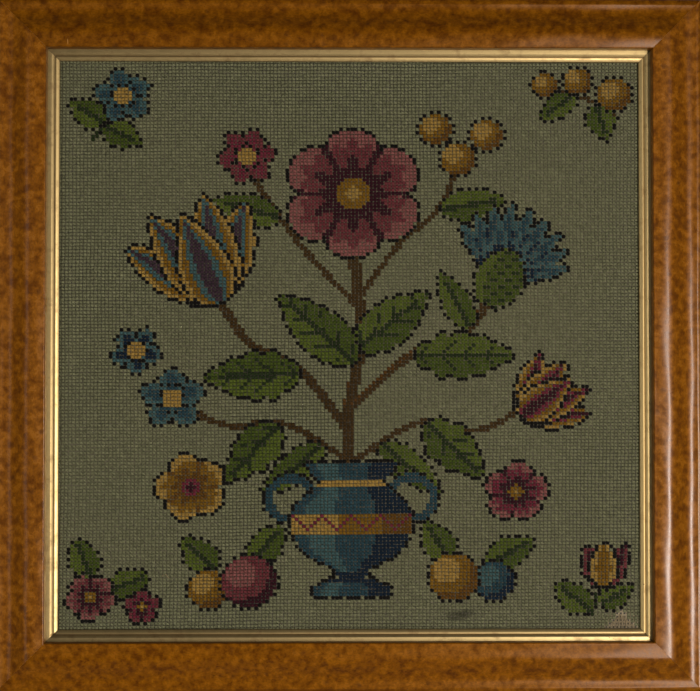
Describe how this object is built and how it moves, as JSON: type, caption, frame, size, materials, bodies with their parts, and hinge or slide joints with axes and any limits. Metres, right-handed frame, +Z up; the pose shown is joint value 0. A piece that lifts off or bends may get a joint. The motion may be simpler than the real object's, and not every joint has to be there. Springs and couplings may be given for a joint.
{
  "type": "canvas work embroidery in wooden frame",
  "caption": "Square wool canvas-work embroidery behind a gilt slip, in a mitred maple frame with a beaded moulding and a plain board at its back.",
  "frame": {"origin": "the middle of the flat back of the top rail, on the wall plane", "axes": "+Y into the wall, out of the frame's back; +Z up; the stitched face looks along -Y and +X is to its right"},
  "size_m": [0.4876, 0.0222, 0.4786],
  "materials": {
    "maple": "varnished bird's-eye veneer",
    "gilt": "worn gilding over wood",
    "wool": "wool stitches on canvas",
    "board": "plain sawn board"
  },
  "bodies": {
    "root": {"rail_top": "maple", "rail_bottom": "maple", "rail_left": "maple", "rail_right": "maple", "slip_top": "gilt", "slip_bottom": "gilt", "slip_left": "gilt", "slip_right": "gilt", "needlework": "wool", "backing_board": "board"}
  },
  "joints": []
}
